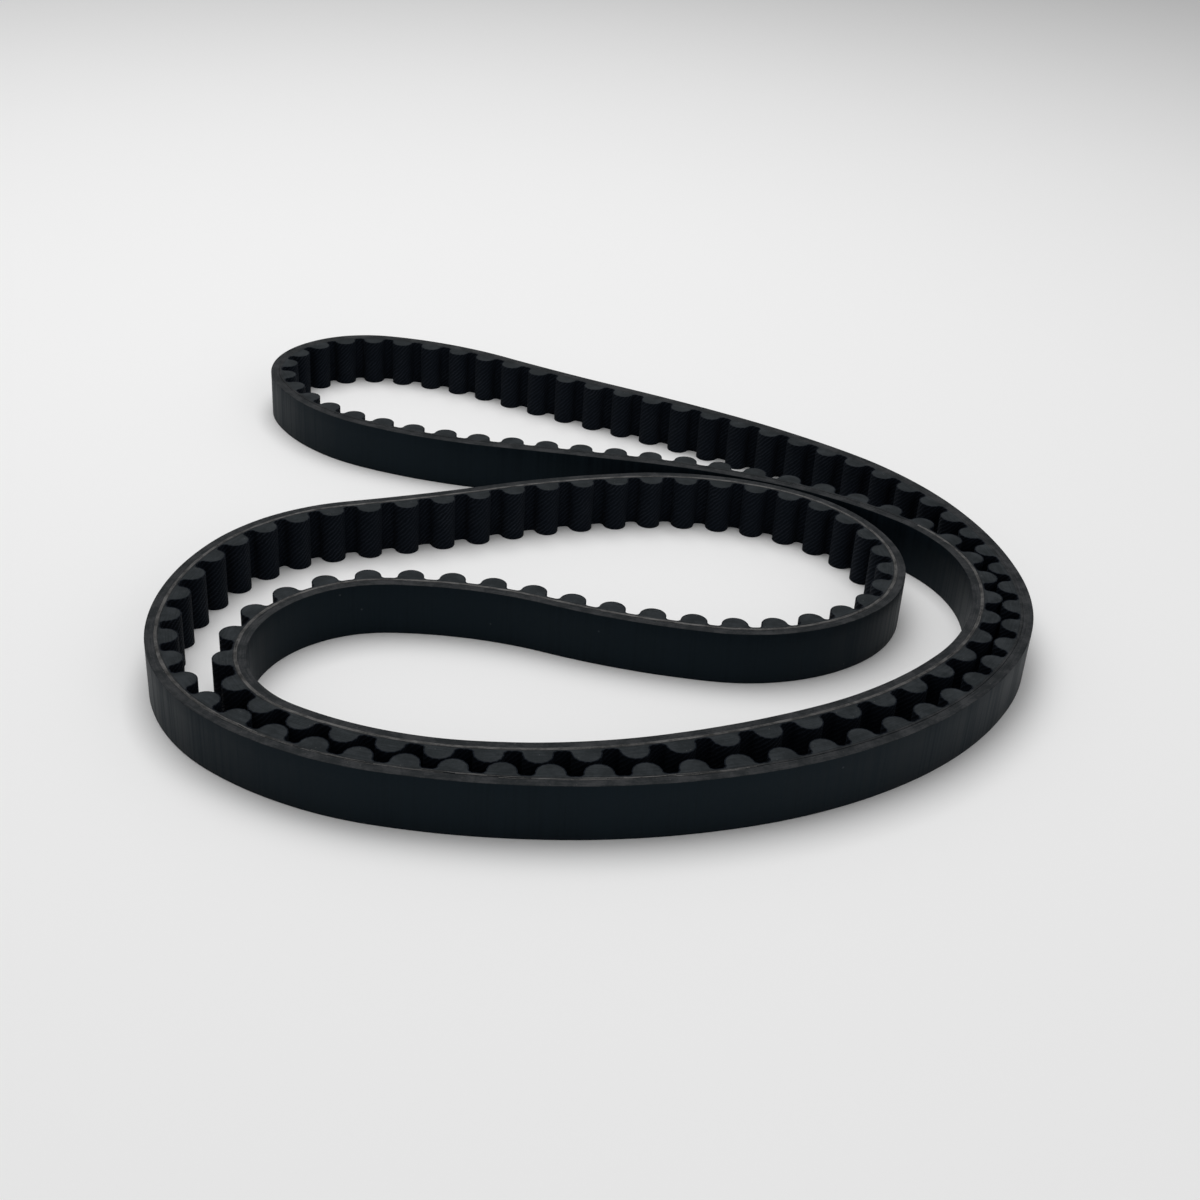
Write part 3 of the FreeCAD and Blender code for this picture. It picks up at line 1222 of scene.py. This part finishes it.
class Surface:
    """A material being built, with the coordinates that its effects read.

    Args:
        name: Name of the material.
        effects: The shared effects.
    """

    def __init__(self, name: str, effects: Effects) -> None:
        self.material = bpy.data.materials.new(name)
        self.material.use_nodes = True
        self.effects = effects
        self.graph = Graph(self.material.node_tree)
        self.shader = self.material.node_tree.nodes["Principled BSDF"]
        self.place = self.graph.add("TexCoord").outputs["Object"]

    def effect(self, effect: Effect, **values: float) -> bpy.types.bpy_prop_collection:
        """Places a shared effect with this surface's own values.

        Args:
            effect: Which effect.
            values: Its numbers, by the names of the group's inputs in small letters.

        Returns:
            Its outputs.
        """
        node = self.graph.tree.nodes.new("ShaderNodeGroup")
        node.node_tree = self.effects[effect]
        self.graph.tree.links.new(self.place, node.inputs["Place"])
        if "Map" in node.inputs:
            own_map = self.graph.add("UVMap", uv_map=MAP_NAME).outputs[0]
            self.graph.tree.links.new(own_map, node.inputs["Map"])
        for key, value in values.items():
            node.inputs[key.capitalize()].default_value = value
        return node.outputs

    def set(self, **constants: object) -> None:
        """Sets constants on the shader's own sockets, an underscore standing for a space."""
        for key, value in constants.items():
            self.shader.inputs[key.replace("_", " ")].default_value = value

    def join(self, socket: str, value: bpy.types.NodeSocket) -> None:
        """Feeds a value that changes over the surface to the shader."""
        self.graph.tree.links.new(value, self.shader.inputs[socket])

    def relief(self, height: bpy.types.NodeSocket, depth: float) -> None:
        """Feeds the shader a bump of a real depth, in metres."""
        bump = self.graph.add("Bump", {"Height": height, "Distance": depth, "Strength": 1.0})
        self.join("Normal", bump.outputs["Normal"])


@dataclass(frozen=True)
class MouldedBack:
    """Ground and moulded back of the belt: satin, faintly streaked across, lightly scuffed."""

    dark: Colour = (0.0012, 0.0030, 0.0050, 1)
    light: Colour = (0.0036, 0.0066, 0.0096, 1)
    sheen: Colour = (0.6, 0.85, 1.0, 1)
    dust: Colour = (0.045, 0.05, 0.053, 1)

    def material(self, effects: Effects) -> bpy.types.Material:
        """Builds the material from the shared effects."""
        surface = Surface("moulded_back", effects)
        graph = surface.graph
        tone = surface.effect(Effect.STREAKS, fineness=1400.0)["Tone"]
        rub = surface.effect(Effect.EDGE_RUB, reach=0.35 * MM)["Mask"]
        dust = surface.effect(Effect.DUST, spacing=520.0, amount=0.03)["Mask"]
        grain = graph.noise(surface.place, 9000.0, 2.0, 0.6)
        colour = graph.mixed(tone, self.dark, self.light)
        colour = graph.mixed(graph.math("MULTIPLY", rub, 0.3), colour, self.dust)
        colour = graph.mixed(graph.math("MULTIPLY", dust, 0.5), colour, self.dust)
        surface.join("Base Color", colour)
        roughness = graph.ranged(graph.math("ADD", tone, rub), 0.0, 1.6, 0.5, 0.72)
        surface.join("Roughness", roughness)
        height = graph.math("MULTIPLY_ADD", tone, 0.75, graph.math("MULTIPLY", grain, 0.25))
        surface.set(Specular_IOR_Level=0.13, Specular_Tint=self.sheen)
        surface.relief(height, 0.012 * MM)
        return surface.material


@dataclass(frozen=True)
class CutRubber:
    """Rubber where the slitting knife went through it: dull grey, with fine scratches.

    Args:
        name: Name of the material.
        dark: Colour of its darker patches.
        light: Colour of its lighter patches.
        fineness: Scratches per pitch of depth.
    """

    name: str
    dark: Colour
    light: Colour
    fineness: float = 60.0
    dust: Colour = (0.17, 0.165, 0.155, 1)
    sheen: Colour = (0.85, 0.97, 1.0, 1)

    def material(self, effects: Effects) -> bpy.types.Material:
        """Builds the material from the shared effects."""
        surface = Surface(self.name, effects)
        graph = surface.graph
        marks = surface.effect(Effect.CUT_MARKS, fineness=self.fineness)
        dust = surface.effect(Effect.DUST, spacing=1400.0, amount=0.08)["Mask"]
        colour = graph.mixed(marks["Tone"], self.dark, self.light)
        colour = graph.mixed(graph.math("MULTIPLY", dust, 0.55), colour, self.dust)
        surface.join("Base Color", colour)
        surface.join("Roughness", graph.ranged(marks["Tone"], 0.0, 1.0, 0.68, 0.86))
        surface.set(Specular_IOR_Level=0.2, Specular_Tint=self.sheen)
        surface.relief(marks["Height"], 0.03 * MM)
        return surface.material


@dataclass(frozen=True)
class TwillNylon:
    """Woven nylon facing, impregnated with rubber: black ribs, with painted shade in the valleys
    between them and a painted highlight on their crowns, which are also greyer in patches where they
    are worn.
    """

    # The valley colour carries painted shade and the crown colour a painted highlight; the weave's
    # height picks between them.
    valley_painted_shade: Colour = (0.0018, 0.0027, 0.0048, 1)
    crown_painted_highlight: Colour = (0.0066, 0.0090, 0.0140, 1)
    worn: Colour = (0.017, 0.020, 0.026, 1)
    sheen: Colour = (0.7, 0.85, 1.0, 1)
    ribs: float = 11.0
    lean: float = 7.5

    def material(self, effects: Effects) -> bpy.types.Material:
        """Builds the material from the shared effects."""
        surface = Surface("twill_nylon", effects)
        graph = surface.graph
        weave = surface.effect(Effect.TWILL, ribs=self.ribs, lean=self.lean)
        rub = surface.effect(Effect.EDGE_RUB, reach=0.25 * MM)["Mask"]
        patches = graph.ranged(graph.noise(surface.place, 160.0, 3.0), 0.45, 0.75)
        # Painted shade in the weave's valleys and painted highlight on the rib crowns, chosen by the
        # weave's height.
        colour = graph.mixed(weave["Crown"], self.valley_painted_shade, self.crown_painted_highlight)
        worn = graph.math("MULTIPLY", graph.math("MULTIPLY", weave["Crown"], patches), 0.6)
        colour = graph.mixed(worn, colour, self.worn)
        colour = graph.mixed(graph.math("MULTIPLY", rub, 0.35), colour, self.worn)
        surface.join("Base Color", colour)
        surface.join("Roughness", graph.ranged(weave["Crown"], 0.0, 1.0, 0.92, 0.7))
        surface.set(Specular_IOR_Level=0.13, Specular_Tint=self.sheen)
        surface.relief(weave["Height"], 0.07 * MM)
        return surface.material


@dataclass(frozen=True)
class GlassYarn:
    """Glass fibre cord in its rubber dip, pale where the knife laid the filaments bare.

    Args:
        name: Name of the material.
        dipped: Colour of the dip.
        bare: Colour of bare filaments.
    """

    name: str
    dipped: Colour
    bare: Colour

    def material(self, effects: Effects) -> bpy.types.Material:
        """Builds the material from the shared effects."""
        surface = Surface(self.name, effects)
        graph = surface.graph
        patches = graph.ranged(graph.noise(surface.place, 420.0, 4.0, 0.7), 0.36, 0.6)
        fine = graph.stretched(surface.place, (9000.0, 9000.0, 3000.0))
        filaments = graph.noise(fine, 1.0, 3.0, 0.7)
        share = graph.math("MULTIPLY", patches, graph.ranged(filaments, 0.3, 0.6, 0.45, 1.0))
        surface.join("Base Color", graph.mixed(share, self.dipped, self.bare))
        surface.join("Roughness", graph.ranged(filaments, 0.3, 0.7, 0.45, 0.75))
        surface.relief(filaments, 0.02 * MM)
        return surface.material


@dataclass
class Wardrobe:
    """Every finish of the belt, built once."""

    def __post_init__(self) -> None:
        """Builds the shared effects and the materials."""
        effects = make_effects()
        self.back = MouldedBack().material(effects)
        self.cut_backing = CutRubber(
            "cut_backing", (0.0052, 0.0060, 0.0074, 1), (0.037, 0.0375, 0.0400, 1),
        ).material(effects)
        self.cut_bed = CutRubber(
            "cut_cord_bed", (0.0044, 0.0050, 0.0062, 1), (0.034, 0.0345, 0.0365, 1), fineness=90.0,
        ).material(effects)
        self.cut_tooth = CutRubber(
            "cut_tooth", (0.0058, 0.0076, 0.0094, 1), (0.0265, 0.0300, 0.0335, 1), fineness=30.0,
        ).material(effects)
        self.twill = TwillNylon().material(effects)
        self.bare_yarn = GlassYarn(
            "bare_glass_yarn", (0.020, 0.0198, 0.0196, 1), (0.098, 0.096, 0.094, 1),
        ).material(effects)
        self.dipped_yarn = GlassYarn(
            "dipped_glass_yarn", (0.03, 0.024, 0.018, 1), (0.25, 0.22, 0.18, 1),
        ).material(effects)


def dress(piece: bpy.types.Object, plain: bpy.types.Material,
          cut: bpy.types.Material | None = None) -> None:
    """Gives a piece its body and materials.

    Args:
        piece: The finished piece.
        plain: Material of its sides.
        cut: Material of its cut edges, if it differs.
    """
    piece.data.materials.clear()
    piece.data.materials.append(plain)
    if cut is not None:
        piece.data.materials.append(cut)
        piece.data.polygons.foreach_set("material_index", level_faces(piece).astype(np.int32))
    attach(piece, BODY)
    LOG.info("%s: %d faces", piece.name, len(piece.data.polygons))


@dataclass
class Studio:
    """Pale floor, soft lights and the camera.

    Args:
        aim: Point that the camera looks at.
    """

    aim: Vector

    azimuth: float = 0.2525
    elevation: float = 29.909
    roll: float = 3.913
    distance: float = 307.34 * MM
    lens: float = 47.877
    sensor: float = 36.0
    FLOOR_SIDE = 6.0

    def floor(self) -> None:
        """Lays the floor on the lower cut edge's level."""
        deselect()
        bpy.ops.mesh.primitive_plane_add(size=self.FLOOR_SIDE, location=(0, 0, 0))
        floor = bpy.context.object
        floor.name = "floor"
        material = bpy.data.materials.new("pale_floor")
        material.use_nodes = True
        graph = Graph(material.node_tree)
        shader = material.node_tree.nodes["Principled BSDF"]
        place = graph.add("TexCoord").outputs["Object"]
        tone = graph.mixed(graph.noise(place, 3.0), (0.91, 0.91, 0.91, 1), (0.94, 0.94, 0.94, 1))
        material.node_tree.links.new(tone, shader.inputs["Base Color"])
        shader.inputs["Roughness"].default_value = 0.9
        shader.inputs["Specular IOR Level"].default_value = 0.1
        floor.data.materials.append(material)

    def light(self, name: str, place: tuple[float, float, float], side: float,
              watts: float) -> None:
        """Adds a square soft light that faces the belt.

        Args:
            name: Name of the light.
            place: Where it hangs.
            side: Side of the square.
            watts: Its power.
        """
        data = bpy.data.lights.new(name, "AREA")
        data.size = side
        data.energy = watts
        lamp = bpy.data.objects.new(name, data)
        lamp.location = place
        lamp.rotation_mode = "QUATERNION"
        lamp.rotation_quaternion = (-Vector(place)).to_track_quat("-Z", "Y")
        bpy.context.scene.collection.objects.link(lamp)

    def sky(self, strength: float) -> None:
        """Fills the room with even white light of a strength."""
        world = bpy.data.worlds.new("studio")
        world.use_nodes = True
        world.node_tree.nodes["Background"].inputs["Color"].default_value = (1, 1, 1, 1)
        world.node_tree.nodes["Background"].inputs["Strength"].default_value = strength
        bpy.context.scene.world = world

    def camera(self) -> None:
        """Places the camera on its sight line to the aim."""
        azimuth, elevation = math.radians(self.azimuth), math.radians(self.elevation)
        forward = Vector((math.sin(azimuth) * math.cos(elevation),
                          math.cos(azimuth) * math.cos(elevation), -math.sin(elevation)))
        data = bpy.data.cameras.new("camera")
        data.sensor_width = self.sensor
        data.lens = self.lens
        data.clip_start = 0.01
        camera = bpy.data.objects.new("camera", data)
        camera.location = self.aim - forward * self.distance
        camera.rotation_mode = "QUATERNION"
        upright = forward.to_track_quat("-Z", "Y").to_matrix()
        rolled = Matrix.Rotation(math.radians(self.roll), 3, -forward) @ upright
        camera.rotation_quaternion = rolled.to_quaternion()
        bpy.context.scene.collection.objects.link(camera)
        bpy.context.scene.camera = camera

    def build(self) -> None:
        """Sets up the whole studio."""
        self.floor()
        self.sky(0.3)
        self.light("key", (-0.12, 0.2, 0.8), 0.7, 5.0)
        self.light("fill", (0.5, -0.7, 0.5), 0.6, 1.0)
        self.camera()
        view = bpy.context.scene.view_settings
        view.view_transform = "Standard"
        view.look = "None"


def main() -> None:
    """Builds and dresses the belt, piece by piece."""
    logging.basicConfig(level=logging.INFO, format="%(name)s %(message)s")
    path = BeltPath(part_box("backing_rubber"))
    finishes = Wardrobe()
    backing = RubberLayer(path, "rubber_backing", near=-SIZES.backing, far=0.0,
                          corner=0.14 * MM, dish=0.04 * MM, node="backing_rubber")
    dress(backing.build(), finishes.back, finishes.cut_backing)
    bed = RubberLayer(path, "cord_bed", near=0.0, far=SIZES.bed_depth,
                      corner=0.05 * MM, dish=0.0, node="cord_bed_rubber", swell=0.0)
    dress(bed.build(), finishes.cut_bed)
    for stretch, _ in STRETCHES:
        dress(TeethRubber(path, stretch).build(), finishes.cut_tooth)
    dress(ToothFacing(path).build(), finishes.twill)
    dress(SlitCord(path).build(), finishes.bare_yarn)
    for name, node in frame["nodes"].items():
        if name.startswith("cord_") and "turn" in name and not node.hide_render:
            node.data.materials.clear()
            node.data.materials.append(finishes.dipped_yarn)
    Studio(aim=Vector((-0.206, -35.745, 11.0)) * MM).build()


if __name__ == "__main__":
    main()
